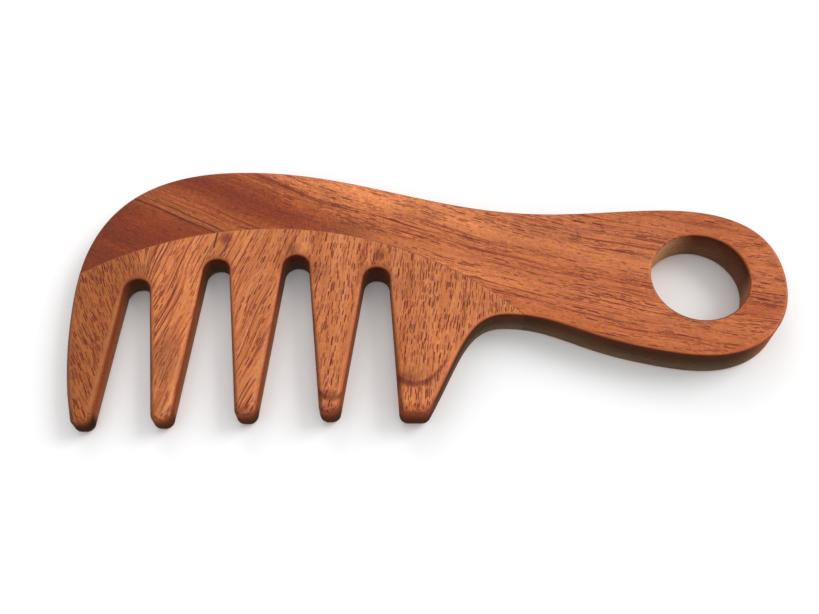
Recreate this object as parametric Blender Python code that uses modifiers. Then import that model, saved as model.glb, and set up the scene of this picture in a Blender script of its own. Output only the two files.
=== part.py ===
"""A wide tooth comb with a shaped handle, made of two hardwood boards.

The back and the handle are one board, with its grain along the comb and a round finger
hole near its end. The five teeth are a second board, with its grain along the teeth. A
curved glue joint holds the two boards together. The front face slopes a little, so that
the teeth are thinner than the handle.

The comb lies on its flat back face. +Z is up, out of its front face, +X runs along it
towards the handle, and the teeth point towards -Y. The origin is under the middle of the
comb, on the surface that it lies on.
"""

import math

import bmesh
import bpy

MM = 0.001

# All sizes are in millimetres and all angles in degrees. Places in the plan are measured
# from the middle of the handle's round end: x towards the end of the handle, y towards the
# crest.

NOSE_THICKNESS = 7.0
HANDLE_THICKNESS = 10.6    # at the end of the handle; the front face slopes evenly between
HOLE_CENTRE = (0.2, 0.4)
HOLE_RADIUS = 12.5

# The outer edge, clockwise from the nose tooth to the last tooth: places and headings.
NOSE_FLANK = (-158.0, -35.0, 105.0)     # the nose tooth begins its curve
NOSE = (-161.5, -5.0, 90.0)             # furthest from the handle
CREST = (-121.0, 34.5, 0.0)             # the highest point of the back
WAIST = (-36.0, 20.0, 0.0)              # the narrowest place of the back's line
SWELL = (-8.0, 21.0, 0.0)               # the rise over the hole
HANDLE_END = (22.0, -1.0, -90.0)
BELLY = (0.0, -22.0, 180.0)             # the lowest point of the handle
UNDER_GRIP = (-26.0, -16.8, 160.5)      # the straightest place under the grip
CROOK = (-50.0, -10.2, 180.0)           # where the index finger rests
LAST_FLANK = (-69.0, -35.0, -117.0)     # the last tooth ends its curve

# Each stretch between two of those places, with its fullness: the share of the way that
# the curve goes along its end headings before it turns. 0.55 makes a quarter circle.
STRETCHES = (
    (NOSE_FLANK, NOSE, 0.33),
    (NOSE, CREST, 0.67),
    (CREST, WAIST, 0.38),
    (WAIST, SWELL, 0.33),
    (SWELL, HANDLE_END, 0.67),
    (HANDLE_END, BELLY, 0.6),
    (BELLY, UNDER_GRIP, 0.28),
    (UNDER_GRIP, CROOK, 0.4),
    (CROOK, LAST_FLANK, 0.52),
)

# How far down each tooth ends, from the last tooth to the nose tooth.
TIPS = (-37.0, -36.8, -37.4, -38.7, -39.6)
TIP_CORNER_RADIUS = 2.2

# The gaps between the teeth: the x of each arch, and how far the gap leans from -Y.
GAPS = ((-83.3, -1.4), (-104.4, 0.3), (-125.2, 0.6), (-145.4, 1.1))
GAP_FLARE = 6.1
ARCH_RADIUS = 3.4

# The tops of the arches follow one circle, and the glue joint another.
ARCH_LINE_X = -110.0
ARCH_LINE_TOP = 7.9
ARCH_LINE_RADIUS = 92.0
JOINT_X = -111.5
JOINT_TOP = 15.8
JOINT_RADIUS = 96.0
JOINT_SPREAD = 48.0        # the joint's arc, in degrees each side of its top

GLUE_THICKNESS = 0.2
GLUE_CLEARANCE = 0.15      # on each side of the film
JOINT_CUT_DEPTH = 70.0     # each joint cutter reaches this far past the joint

TOOTH_EDGE_RADIUS = 1.8    # round-over at the tips of the teeth
BACK_EDGE_RADIUS = 0.7     # easing of the back, the handle and the hole
EDGE_MIN_ANGLE = 45.0      # the edges to round turn more than this

STRETCH_STEPS = 15
ARCH_STEPS = 12
CORNER_STEPS = 5
HOLE_STEPS = 64
JOINT_STEPS = 48
BEVEL_STEPS = 2
WELD_DISTANCE = 0.000001   # in metres, as it is used on finished meshes
CAP_FACING = 0.5           # faces of a slab whose normal rises more than this are its cap
CUTTER_MARGIN = 5.0


def heading(degrees):
    """The unit vector of a heading in the plan."""
    return math.cos(math.radians(degrees)), math.sin(math.radians(degrees))


def arc(centre, radius, start, end, steps):
    """Points along a circular arc, with both ends."""
    points = []
    for step in range(steps + 1):
        across, up = heading(start + (end - start) * step / steps)
        points.append((centre[0] + radius * across, centre[1] + radius * up))
    return points


def stretch_points(first, last, fullness):
    """Points along the cubic curve of one stretch of the outer edge, without its end."""
    across = last[0] - first[0]
    up = last[1] - first[1]
    out_x, out_y = heading(first[2])
    in_x, in_y = heading(last[2])
    out_reach = fullness * (across * out_x + up * out_y)
    in_reach = fullness * (across * in_x + up * in_y)
    controls = (
        (first[0], first[1]),
        (first[0] + out_reach * out_x, first[1] + out_reach * out_y),
        (last[0] - in_reach * in_x, last[1] - in_reach * in_y),
        (last[0], last[1]),
    )
    points = []
    for step in range(STRETCH_STEPS):
        t = step / STRETCH_STEPS
        weights = ((1 - t) ** 3, 3 * t * (1 - t) ** 2, 3 * t ** 2 * (1 - t), t ** 3)
        x = sum(weight * point[0] for weight, point in zip(weights, controls))
        y = sum(weight * point[1] for weight, point in zip(weights, controls))
        points.append((x, y))
    return points


def run_to_tip(point, degrees, tip):
    """Where a straight line from a point, along a heading, reaches the end of a tooth."""
    across, up = heading(degrees)
    distance = (tip - point[1]) / up
    return point[0] + distance * across, tip


def rounded_corner(before, corner, after):
    """Points of the arc that rounds a convex corner, walked clockwise."""
    angle_in = math.degrees(math.atan2(corner[1] - before[1], corner[0] - before[0]))
    angle_out = math.degrees(math.atan2(after[1] - corner[1], after[0] - corner[0]))
    turn = (angle_in - angle_out) % 360
    setback = TIP_CORNER_RADIUS * math.tan(math.radians(turn / 2))
    in_x, in_y = heading(angle_in)
    side_x, side_y = heading(angle_in - 90)
    centre = (corner[0] - setback * in_x + TIP_CORNER_RADIUS * side_x,
              corner[1] - setback * in_y + TIP_CORNER_RADIUS * side_y)
    return arc(centre, TIP_CORNER_RADIUS, angle_in + 90, angle_in + 90 - turn, CORNER_STEPS)


def gap_arch(x, lean):
    """The arch of one gap, walked from its handle side to its nose side."""
    fall = ARCH_LINE_RADIUS - math.sqrt(ARCH_LINE_RADIUS ** 2 - (x - ARCH_LINE_X) ** 2)
    centre = (x, ARCH_LINE_TOP - fall - ARCH_RADIUS)
    return arc(centre, ARCH_RADIUS, lean + GAP_FLARE, lean + 180 - GAP_FLARE, ARCH_STEPS)


def comb_outline():
    """The whole outline of the comb, clockwise from the nose tooth."""
    points = []
    for first, last, fullness in STRETCHES:
        points += stretch_points(first, last, fullness)

    points.append((LAST_FLANK[0], LAST_FLANK[1]))
    corner = run_to_tip(LAST_FLANK, LAST_FLANK[2], TIPS[0])
    for (x, lean), tip, next_tip in zip(GAPS, TIPS, TIPS[1:]):
        arch = gap_arch(x, lean)
        next_corner = run_to_tip(arch[0], lean + GAP_FLARE - 90, tip)
        points += rounded_corner(points[-1], corner, next_corner)
        points += rounded_corner(corner, next_corner, arch[0])
        points += arch
        corner = run_to_tip(arch[-1], lean - GAP_FLARE - 90, next_tip)

    nose_corner = run_to_tip(NOSE_FLANK, NOSE_FLANK[2] - 180, TIPS[-1])
    points += rounded_corner(points[-1], corner, nose_corner)
    points += rounded_corner(corner, nose_corner, NOSE_FLANK)
    return points


def joint_band(inner_radius, outer_radius):
    """The outline of a band along the glue joint, between two radii."""
    centre = (JOINT_X, JOINT_TOP - JOINT_RADIUS)
    start = 90 - JOINT_SPREAD
    end = 90 + JOINT_SPREAD
    outer = arc(centre, outer_radius, start, end, JOINT_STEPS)
    inner = arc(centre, inner_radius, end, start, JOINT_STEPS)
    return outer + inner


def new_collection(name):
    """A collection linked to the scene."""
    collection = bpy.data.collections.new(name)
    bpy.context.scene.collection.children.link(collection)
    return collection


def thickness_at(x):
    """The thickness of the comb at a place along it."""
    share = (x - NOSE[0]) / (HANDLE_END[0] - NOSE[0])
    return NOSE_THICKNESS + share * (HANDLE_THICKNESS - NOSE_THICKNESS)


def evaluated_mesh(shape):
    """The mesh of a shape, as its curve settings or its modifiers make it."""
    bpy.context.view_layer.update()
    evaluated = shape.evaluated_get(bpy.context.evaluated_depsgraph_get())
    return bpy.data.meshes.new_from_object(evaluated)


def slab(name, outline, bottom, top, collection):
    """A flat closed outline, made solid between two heights."""
    curve = bpy.data.curves.new(name, "CURVE")
    curve.dimensions = "2D"
    curve.fill_mode = "BOTH"
    curve.extrude = (top - bottom) / 2 * MM
    spline = curve.splines.new("POLY")
    spline.points.add(len(outline) - 1)
    for point, (x, y) in zip(spline.points, outline):
        point.co = (x * MM, y * MM, 0, 1)
    spline.use_cyclic_u = True
    outline_object = bpy.data.objects.new(name + "_outline", curve)
    outline_object.location.z = (top + bottom) / 2 * MM
    collection.objects.link(outline_object)

    solid_mesh = evaluated_mesh(outline_object)
    shape = bmesh.new()
    shape.from_mesh(solid_mesh)
    bmesh.ops.remove_doubles(shape, verts=shape.verts, dist=WELD_DISTANCE)
    bmesh.ops.recalc_face_normals(shape, faces=shape.faces)
    for side in (1, -1):
        cap = [face for face in shape.faces if face.normal.z * side > CAP_FACING]
        bmesh.ops.dissolve_faces(shape, faces=cap)
    shape.to_mesh(solid_mesh)
    shape.free()
    solid = bpy.data.objects.new(name, solid_mesh)
    solid.matrix_world = outline_object.matrix_world.copy()
    collection.objects.link(solid)
    bpy.data.objects.remove(outline_object)
    return solid


def hide_cutter(cutter):
    """A cutter shapes the boards and is no part of the comb."""
    cutter.hide_render = True
    cutter.display_type = "WIRE"


def add_boolean(solid, cutter, operation):
    """Take a cutter away from a solid, or keep only what is inside the cutter."""
    boolean = solid.modifiers.new(cutter.name, "BOOLEAN")
    boolean.operation = operation
    boolean.object = cutter


def share_of_way(value, start, end):
    """How far a value is from start to end: 0 up to the start and 1 past the end."""
    return min(max((value - start) / (end - start), 0), 1)


def edge_radius(x, y):
    """The round-over at a place on the edge: it grows down the teeth, towards the tips."""
    down = share_of_way(y, ARCH_LINE_TOP, TIPS[0])
    from_crook = share_of_way(x, CROOK[0], LAST_FLANK[0])
    return BACK_EDGE_RADIUS + down * from_crook * (TOOTH_EDGE_RADIUS - BACK_EDGE_RADIUS)


def round_edges(blank):
    """Round the edges of both faces: most at the tips, least on the back and handle."""
    shape = bmesh.new()
    shape.from_mesh(blank.data)
    weights = shape.edges.layers.float.new("bevel_weight_edge")
    for edge in shape.edges:
        rises = abs(edge.verts[0].co.z - edge.verts[1].co.z) > WELD_DISTANCE
        if rises or edge.calc_face_angle(0) < math.radians(EDGE_MIN_ANGLE):
            continue
        middle = (edge.verts[0].co + edge.verts[1].co) / 2 / MM
        edge[weights] = edge_radius(middle.x, middle.y) / TOOTH_EDGE_RADIUS
    shape.to_mesh(blank.data)
    shape.free()
    bevel = blank.modifiers.new("rounded_edges", "BEVEL")
    bevel.limit_method = "WEIGHT"
    bevel.width = TOOTH_EDGE_RADIUS * MM
    bevel.segments = BEVEL_STEPS
    bevel.use_clamp_overlap = False


def slope_front(solid):
    """Bring the upper half of a solid down to the slope of the front face."""
    for vertex in solid.data.vertices:
        place = solid.location + vertex.co
        if place.z > HANDLE_THICKNESS / 2 * MM:
            vertex.co.z -= (HANDLE_THICKNESS - thickness_at(place.x / MM)) * MM


def wood(name, colour, roughness):
    """A plain finish for one sub-part."""
    material = bpy.data.materials.new(name)
    material.use_nodes = True
    shader = material.node_tree.nodes["Principled BSDF"]
    shader.inputs["Base Color"].default_value = (*colour, 1)
    shader.inputs["Roughness"].default_value = roughness
    shader.inputs["Metallic"].default_value = 0
    return material


def comb_blank(name, collection):
    """The full shape of the comb as one board, before the joint divides it."""
    blank = slab(name, comb_outline(), 0, HANDLE_THICKNESS, collection)
    round_edges(blank)
    slope_front(blank)
    return blank


def hole_cutter(collection):
    """The drill for the finger hole, flared to chamfer both rims."""
    flare = HOLE_RADIUS + BACK_EDGE_RADIUS + CUTTER_MARGIN
    profile = (
        (0, HANDLE_THICKNESS + CUTTER_MARGIN),
        (flare, HANDLE_THICKNESS + CUTTER_MARGIN),
        (HOLE_RADIUS, HANDLE_THICKNESS - BACK_EDGE_RADIUS),
        (HOLE_RADIUS, BACK_EDGE_RADIUS),
        (flare, -CUTTER_MARGIN),
        (0, -CUTTER_MARGIN),
    )
    corners = [(radius * MM, 0, height * MM) for radius, height in profile]
    sides = [(index, index + 1) for index in range(len(corners) - 1)]
    profile_mesh = bpy.data.meshes.new("hole_profile")
    profile_mesh.from_pydata(corners, sides, [])
    turned = bpy.data.objects.new("hole_profile", profile_mesh)
    collection.objects.link(turned)
    turn = turned.modifiers.new("turned", "SCREW")
    turn.steps = HOLE_STEPS
    turn.render_steps = HOLE_STEPS
    turn.use_merge_vertices = True
    turn.merge_threshold = WELD_DISTANCE

    cutter = bpy.data.objects.new("hole_cutter", evaluated_mesh(turned))
    cutter.location = (HOLE_CENTRE[0] * MM, HOLE_CENTRE[1] * MM, 0)
    collection.objects.link(cutter)
    bpy.data.objects.remove(turned)
    slope_front(cutter)
    hide_cutter(cutter)
    return cutter


def joint_cutter(name, inner_radius, outer_radius, collection):
    """A cutter that covers a band along the glue joint through the whole thickness."""
    band = joint_band(inner_radius, outer_radius)
    cutter = slab(name, band, -CUTTER_MARGIN, HANDLE_THICKNESS + CUTTER_MARGIN, collection)
    hide_cutter(cutter)
    return cutter


def back_and_handle(parts, cutters):
    """The board of the back and the handle, above the joint."""
    board = comb_blank("back_and_handle", parts)
    board.data.materials.append(wood("back_wood", (0.42, 0.17, 0.075), 0.42))
    add_boolean(board, hole_cutter(cutters), "DIFFERENCE")
    above_joint = JOINT_RADIUS + GLUE_THICKNESS / 2 + GLUE_CLEARANCE
    cut = joint_cutter("back_joint_cutter", above_joint - JOINT_CUT_DEPTH, above_joint, cutters)
    add_boolean(board, cut, "DIFFERENCE")


def tooth_board(parts, cutters):
    """The board of the five teeth, below the joint."""
    board = comb_blank("tooth_board", parts)
    board.data.materials.append(wood("tooth_wood", (0.50, 0.21, 0.085), 0.42))
    below_joint = JOINT_RADIUS - GLUE_THICKNESS / 2 - GLUE_CLEARANCE
    keep = joint_cutter("tooth_board_keeper", below_joint - JOINT_CUT_DEPTH, below_joint, cutters)
    add_boolean(board, keep, "INTERSECT")


def glue_line(parts, cutters):
    """The thin film of cured glue along the joint."""
    film = comb_blank("glue_line", parts)
    film.data.materials.append(wood("cured_glue", (0.20, 0.09, 0.045), 0.5))
    keep = joint_cutter("glue_line_keeper", JOINT_RADIUS - GLUE_THICKNESS / 2,
                        JOINT_RADIUS + GLUE_THICKNESS / 2, cutters)
    add_boolean(film, keep, "INTERSECT")


def main():
    """Build the comb and set it over the origin."""
    for leftover in list(bpy.data.objects):
        bpy.data.objects.remove(leftover)
    parts = new_collection("wide_tooth_comb")
    cutters = new_collection("comb_cutters")
    back_and_handle(parts, cutters)
    tooth_board(parts, cutters)
    glue_line(parts, cutters)

    outline = comb_outline()
    middle_x = (max(x for x, y in outline) + min(x for x, y in outline)) / 2
    middle_y = (max(y for x, y in outline) + min(y for x, y in outline)) / 2
    for shape in list(parts.objects) + list(cutters.objects):
        shape.location.x -= middle_x * MM
        shape.location.y -= middle_y * MM


main()
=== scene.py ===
"""The looks of the wide tooth comb: two oiled hardwood boards, glued along a curved joint.

Each board is a fine mesh that stands for one CAD solid. Its wood is made of nodes, in millimetres
from the middle of the handle's round end.
"""

import math

import bmesh
import bpy
from mathutils import Matrix, Vector


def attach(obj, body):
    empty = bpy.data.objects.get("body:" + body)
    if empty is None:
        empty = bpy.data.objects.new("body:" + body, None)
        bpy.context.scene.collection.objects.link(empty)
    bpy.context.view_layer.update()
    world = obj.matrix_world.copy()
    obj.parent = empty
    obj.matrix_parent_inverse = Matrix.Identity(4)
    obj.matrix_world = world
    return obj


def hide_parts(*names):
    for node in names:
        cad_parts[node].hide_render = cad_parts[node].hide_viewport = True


MM = 0.001

# The shape of the comb, as in the CAD model. Sizes are in millimetres, angles in degrees,
# and places in the plan are measured from the middle of the handle's round end.

NOSE_THICKNESS = 7.0
HANDLE_THICKNESS = 10.6    # at the end of the handle; the front face slopes evenly between
HOLE_CENTRE = (0.2, 0.4)
HOLE_RADIUS = 12.5

# The outer edge, clockwise from the nose tooth to the last tooth: places and headings.
NOSE_FLANK = (-158.0, -35.0, 105.0)
NOSE = (-161.5, -5.0, 90.0)
CREST = (-121.0, 34.5, 0.0)
WAIST = (-36.0, 20.0, 0.0)
SWELL = (-8.0, 21.0, 0.0)
HANDLE_END = (22.0, -1.0, -90.0)
BELLY = (0.0, -22.0, 180.0)
UNDER_GRIP = (-26.0, -16.8, 160.5)
CROOK = (-50.0, -10.2, 180.0)
LAST_FLANK = (-69.0, -35.0, -117.0)

# Each stretch between two of those places, with the share of the way that its curve goes
# along its end headings before it turns.
STRETCHES = (
    (NOSE_FLANK, NOSE, 0.33),
    (NOSE, CREST, 0.67),
    (CREST, WAIST, 0.38),
    (WAIST, SWELL, 0.33),
    (SWELL, HANDLE_END, 0.67),
    (HANDLE_END, BELLY, 0.6),
    (BELLY, UNDER_GRIP, 0.28),
    (UNDER_GRIP, CROOK, 0.4),
    (CROOK, LAST_FLANK, 0.52),
)

TIPS = (-37.0, -36.8, -37.4, -38.7, -39.6)    # from the last tooth to the nose tooth
TIP_CORNER_RADIUS = 2.2

# The gaps, from the handle to the nose: where each arch is, and how far its gap leans.
GAPS = ((-83.3, -1.4), (-104.4, 0.3), (-125.2, 0.6), (-145.4, 1.1))
GAP_PLACES = [place for place, lean in GAPS]
GAP_FLARE = 6.1            # each side of a gap leans out this much more
ARCH_RADIUS = 3.4
ARCH_LINE_X = -110.0       # the tops of the arches lie on one flat arc, highest here
ARCH_LINE_TOP = 7.9
ARCH_LINE_RADIUS = 92.0

JOINT_X = -111.5           # the glue joint is an arc too, highest here
JOINT_TOP = 15.8
JOINT_RADIUS = 96.0
JOINT_SPREAD = 48.0        # the cutters go this far round to each side of the highest place
GLUE_THICKNESS = 0.2
JOINT_CUT_DEPTH = 70.0     # and this far below the joint, past the tips

TOOTH_EDGE_RADIUS = 1.8
BACK_EDGE_RADIUS = 0.7
TOOTH_EDGE_WIDTH = 2.0     # the round-overs reach this far in from the edge, on the teeth
BACK_EDGE_WIDTH = 0.9      # and on the back, the handle and the hole
SOFTENING_RUN = 18.0       # the width grows over this much of each tooth, from its root

# How finely the visible meshes are made.
STRETCH_STEPS = 44
ARCH_STEPS = 28
CORNER_STEPS = 10
FLANK_STEP = 1.2           # the straight sides of the teeth have a point this often
HOLE_STEPS = 144
JOINT_STEPS = 180
ROUND_STEPS = 8            # faces across each rounded edge
WALL_STEPS = 3             # faces up the straight part of the edge
FLAT_RIM = 0.12            # a narrow flat rim inside each rounded edge keeps the face flat
CUTTER_MARGIN = 5.0
SMOOTH_ANGLE = 32.0        # edges that turn more than this look sharp

# The woods.
GLOSS_WHITE = 0.020        # the share of white light that the oiled surface adds
DARKEST_COLOUR = 0.004     # what is left, at the least, without that white
FACE_GLOSS = 0.22
EDGE_GLOSS = 0.05          # duller
BUMP_DEPTH = 0.06
BUMP_STRENGTH = 0.4
FRONT_LEVEL = 8.0          # the depth in the grain's pattern at which the front face cuts it
FAN_TOP = 8.0              # the height from which the grain of the teeth fans out
PORE_SCATTER = 0.85        # how far pores stray from even rows
BANDS_LOWEST = -48.0       # the growth bands of the back board lie between these
BANDS_HIGHEST = 24.0
RING_WIDTH = 2.4           # the dark rings round the arches
ARC_HALF_WIDTH = 0.55      # the growth arcs near two tips
HOLE_EDGE_REACH = 1.2      # the hole's edge colour goes this far out from its wall
HOLE_EDGE_FADE = 1.0       # and fades out over this much more
TINT_PATCHES_PER_METRE = (900.0, 1300.0, 1100.0)
PURPLE_TINT = (0.98, 0.92, 1.30, 1)
OLIVE_TINT = (0.97, 1.04, 0.72, 1)
# How the round-overs go darker: the oiled edge's own darker colour with painted shade over it,
# more where they face the camera, and most on what faces away, to the back and to the nose.
FRONT_ROUND_OIL_AND_SHADE = (0.55, 0.40, 0.34, 1)    # the round-overs that face the camera
SIDE_ROUND_OIL_AND_SHADE = (0.85, 0.74, 0.68, 1)     # the other round-overs
FAR_SIDE_SHADE = (0.42, 0.42, 0.34, 1)       # what faces away, to the back and to the nose

# The sockets of a Mix node that are for colours.
MIX_FIRST_COLOUR = 6
MIX_SECOND_COLOUR = 7
MIX_RESULT = 2

FLOOR_SIZE = 16000.0
FLOOR_DROP = 0.1
FLOOR_GREY = 0.92

# The lights: names, azimuths, elevations, sizes in metres and powers in watts.
LIGHTS = (
    ("window_light", 66, 40, 2.2, 72.0),
    ("back_light", -14, 34, 1.8, 20.0),
)
LIGHT_DISTANCE = 4.0       # in metres
FILL_LIGHT = 0.85

# The camera, as solved from the edges of the comb and of its hole.
CAMERA_PLACE = (-3.52, -128.65, 236.58)
CAMERA_RIGHT = (0.99998, 0.00563, -0.00268)
CAMERA_UP = (-0.00369, 0.87991, 0.47514)
LENS_LENGTH = 44.73
SENSOR_WIDTH = 36.0


def heading(degrees):
    """The unit vector of a heading in the plan."""
    return math.cos(math.radians(degrees)), math.sin(math.radians(degrees))


def arc(centre, radius, start, end, steps):
    """Points along a circular arc, with both ends."""
    points = []
    for step in range(steps + 1):
        across, up = heading(start + (end - start) * step / steps)
        points.append((centre[0] + radius * across, centre[1] + radius * up))
    return points


def stretch_points(first, last, fullness):
    """Points along the cubic curve of one stretch of the outer edge, without its end."""
    across = last[0] - first[0]
    up = last[1] - first[1]
    out_x, out_y = heading(first[2])
    in_x, in_y = heading(last[2])
    out_reach = fullness * (across * out_x + up * out_y)
    in_reach = fullness * (across * in_x + up * in_y)
    controls = (
        (first[0], first[1]),
        (first[0] + out_reach * out_x, first[1] + out_reach * out_y),
        (last[0] - in_reach * in_x, last[1] - in_reach * in_y),
        (last[0], last[1]),
    )
    points = []
    for step in range(STRETCH_STEPS):
        t = step / STRETCH_STEPS
        weights = ((1 - t) ** 3, 3 * t * (1 - t) ** 2, 3 * t ** 2 * (1 - t), t ** 3)
        x = sum(weight * point[0] for weight, point in zip(weights, controls))
        y = sum(weight * point[1] for weight, point in zip(weights, controls))
        points.append((x, y))
    return points


def run_to_tip(point, degrees, tip):
    """Where a straight line from a point, along a heading, reaches the end of a tooth."""
    across, up = heading(degrees)
    distance = (tip - point[1]) / up
    return point[0] + distance * across, tip


def rounded_corner(before, corner, after):
    """Points of the arc that rounds a convex corner, walked clockwise."""
    angle_in = math.degrees(math.atan2(corner[1] - before[1], corner[0] - before[0]))
    angle_out = math.degrees(math.atan2(after[1] - corner[1], after[0] - corner[0]))
    turn = (angle_in - angle_out) % 360
    setback = TIP_CORNER_RADIUS * math.tan(math.radians(turn / 2))
    in_x, in_y = heading(angle_in)
    side_x, side_y = heading(angle_in - 90)
    centre = (corner[0] - setback * in_x + TIP_CORNER_RADIUS * side_x,
              corner[1] - setback * in_y + TIP_CORNER_RADIUS * side_y)
    return arc(centre, TIP_CORNER_RADIUS, angle_in + 90, angle_in + 90 - turn, CORNER_STEPS)


def arch_centre(x):
    """The centre of a gap's arch: the tops of the arches lie on one flat arc."""
    fall = ARCH_LINE_RADIUS - math.sqrt(ARCH_LINE_RADIUS ** 2 - (x - ARCH_LINE_X) ** 2)
    return x, ARCH_LINE_TOP - fall - ARCH_RADIUS


def gap_arch(x, lean):
    """The arch of one gap, walked from its handle side to its nose side."""
    return arc(arch_centre(x), ARCH_RADIUS, lean + GAP_FLARE, lean + 180 - GAP_FLARE, ARCH_STEPS)


def comb_outline():
    """The whole outline of the comb, clockwise from the nose tooth."""
    points = []
    for first, last, fullness in STRETCHES:
        points += stretch_points(first, last, fullness)

    points.append((LAST_FLANK[0], LAST_FLANK[1]))
    corner = run_to_tip(LAST_FLANK, LAST_FLANK[2], TIPS[0])
    for (x, lean), tip, next_tip in zip(GAPS, TIPS, TIPS[1:]):
        arch = gap_arch(x, lean)
        next_corner = run_to_tip(arch[0], lean + GAP_FLARE - 90, tip)
        points += rounded_corner(points[-1], corner, next_corner)
        points += rounded_corner(corner, next_corner, arch[0])
        points += arch
        corner = run_to_tip(arch[-1], lean - GAP_FLARE - 90, next_tip)

    nose_corner = run_to_tip(NOSE_FLANK, NOSE_FLANK[2] - 180, TIPS[-1])
    points += rounded_corner(points[-1], corner, nose_corner)
    points += rounded_corner(corner, nose_corner, NOSE_FLANK)
    return points


def fill_in(outline):
    """The outline with more points along its straight runs."""
    points = []
    for index, (x, y) in enumerate(outline):
        next_x, next_y = outline[(index + 1) % len(outline)]
        length = math.hypot(next_x - x, next_y - y)
        pieces = max(1, round(length / FLANK_STEP))
        for piece in range(pieces):
            share = piece / pieces
            points.append((x + (next_x - x) * share, y + (next_y - y) * share))
    return points


def joint_band(inner_radius, outer_radius):
    """The outline of a band along the glue joint, between two radii."""
    centre = (JOINT_X, JOINT_TOP - JOINT_RADIUS)
    start = 90 - JOINT_SPREAD
    end = 90 + JOINT_SPREAD
    outer = arc(centre, outer_radius, start, end, JOINT_STEPS)
    inner = arc(centre, inner_radius, end, start, JOINT_STEPS)
    return outer + inner


def share_of_way(value, start, end):
    """How far a value is from start to end: 0 up to the start and 1 past the end."""
    return min(max((value - start) / (end - start), 0), 1)


def thickness_at(x):
    """The thickness of the comb at a place along it."""
    share = (x - NOSE[0]) / (HANDLE_END[0] - NOSE[0])
    return NOSE_THICKNESS + share * (HANDLE_THICKNESS - NOSE_THICKNESS)


def edge_radius(x, y):
    """The round-over at a place on the edge: it grows down the teeth, towards the tips."""
    down = share_of_way(y, ARCH_LINE_TOP, TIPS[0])
    from_crook = share_of_way(x, CROOK[0], LAST_FLANK[0])
    return BACK_EDGE_RADIUS + down * from_crook * (TOOTH_EDGE_RADIUS - BACK_EDGE_RADIUS)


def edge_width(x, y):
    """How far the round-over reaches in from the edge: furthest on the teeth."""
    down = share_of_way(y, ARCH_LINE_TOP, ARCH_LINE_TOP - SOFTENING_RUN)
    from_crook = share_of_way(x, CROOK[0], LAST_FLANK[0])
    return BACK_EDGE_WIDTH + down * from_crook * (TOOTH_EDGE_WIDTH - BACK_EDGE_WIDTH)


def plan_shift():
    """From the centre of the finger hole to the middle of the comb, as the CAD has it."""
    outline = comb_outline()
    middle_x = (max(x for x, y in outline) + min(x for x, y in outline)) / 2
    middle_y = (max(y for x, y in outline) + min(y for x, y in outline)) / 2
    return middle_x, middle_y


SHIFT_X, SHIFT_Y = plan_shift()


def world_point(x, y, z):
    """A place in the scene, in metres, from a place in the plan and a height."""
    return Vector(((x - SHIFT_X) * MM, (y - SHIFT_Y) * MM, z * MM))


def inward_steps(outline):
    """For each point of a clockwise outline, the step into the material that keeps to 1 mm
    from both of its sides."""
    steps = []
    for index, (x, y) in enumerate(outline):
        before = Vector(outline[index - 1])
        after = Vector(outline[(index + 1) % len(outline)])
        here = Vector((x, y))
        way_in = (here - before).normalized()
        way_out = (after - here).normalized()
        side_in = Vector((way_in.y, -way_in.x))
        side_out = Vector((way_out.y, -way_out.x))
        middle = (side_in + side_out).normalized()
        steps.append(middle / middle.dot(side_in))
    return steps


def edge_profile(radius, width):
    """The edge of the board at one place, from its back to its front. Each point has its
    inset from the edge, and its height as an amount and as a share of the thickness."""
    profile = [(width + FLAT_RIM, 0, 0)]
    for step in range(ROUND_STEPS + 1):
        across, up = heading(90 * step / ROUND_STEPS)
        profile.append((width * (1 - up), radius * (1 - across), 0))
    for step in range(1, WALL_STEPS):
        share = step / WALL_STEPS
        profile.append((0, radius * (1 - 2 * share), share))
    for step in range(ROUND_STEPS + 1):
        across, up = heading(90 * step / ROUND_STEPS)
        profile.append((width * (1 - across), radius * (up - 1), 1))
    profile.append((width + FLAT_RIM, 0, 1))
    return profile


def add_edge(shape, outline, radii, widths):
    """Add a rounded edge all along an outline. Returns the edges of its back and front rims."""
    steps = inward_steps(outline)
    columns = []
    for (x, y), step, radius, width in zip(outline, steps, radii, widths):
        column = []
        for inset, amount, share in edge_profile(radius, width):
            inner_x = x + step.x * inset
            height = amount + share * thickness_at(inner_x)
            column.append(shape.verts.new(world_point(inner_x, y + step.y * inset, height)))
        columns.append(column)
    rims = [[], []]
    for index, column in enumerate(columns):
        following = columns[(index + 1) % len(columns)]
        for level in range(len(column) - 1):
            shape.faces.new((column[level], following[level],
                             following[level + 1], column[level + 1]))
        rims[0].append(shape.edges.get((column[0], following[0])))
        rims[1].append(shape.edges.get((column[-1], following[-1])))
    return rims


def mesh_of(shape, name):
    """A mesh from a finished shape."""
    mesh = bpy.data.meshes.new(name)
    shape.to_mesh(mesh)
    shape.free()
    return mesh


def add_object(name, data):
    """A new object in the scene."""
    thing = bpy.data.objects.new(name, data)
    bpy.context.scene.collection.objects.link(thing)
    return thing


def comb_blank():
    """The full shape of the comb as one board, before the joint divides it."""
    outline = fill_in(comb_outline())
    hole = arc(HOLE_CENTRE, HOLE_RADIUS, 0, 360, HOLE_STEPS)[:-1]
    shape = bmesh.new()
    radii = [edge_radius(x, y) for x, y in outline]
    widths = [edge_width(x, y) for x, y in outline]
    outer_rims = add_edge(shape, outline, radii, widths)
    hole_rims = add_edge(shape, hole, [BACK_EDGE_RADIUS] * len(hole),
                         [BACK_EDGE_WIDTH] * len(hole))
    for outer_rim, hole_rim, side in zip(outer_rims, hole_rims, (-1, 1)):
        bmesh.ops.triangle_fill(shape, edges=outer_rim + hole_rim, use_beauty=True,
                                normal=(0, 0, side))
    bmesh.ops.recalc_face_normals(shape, faces=shape.faces)
    return mesh_of(shape, "comb_blank")


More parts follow.
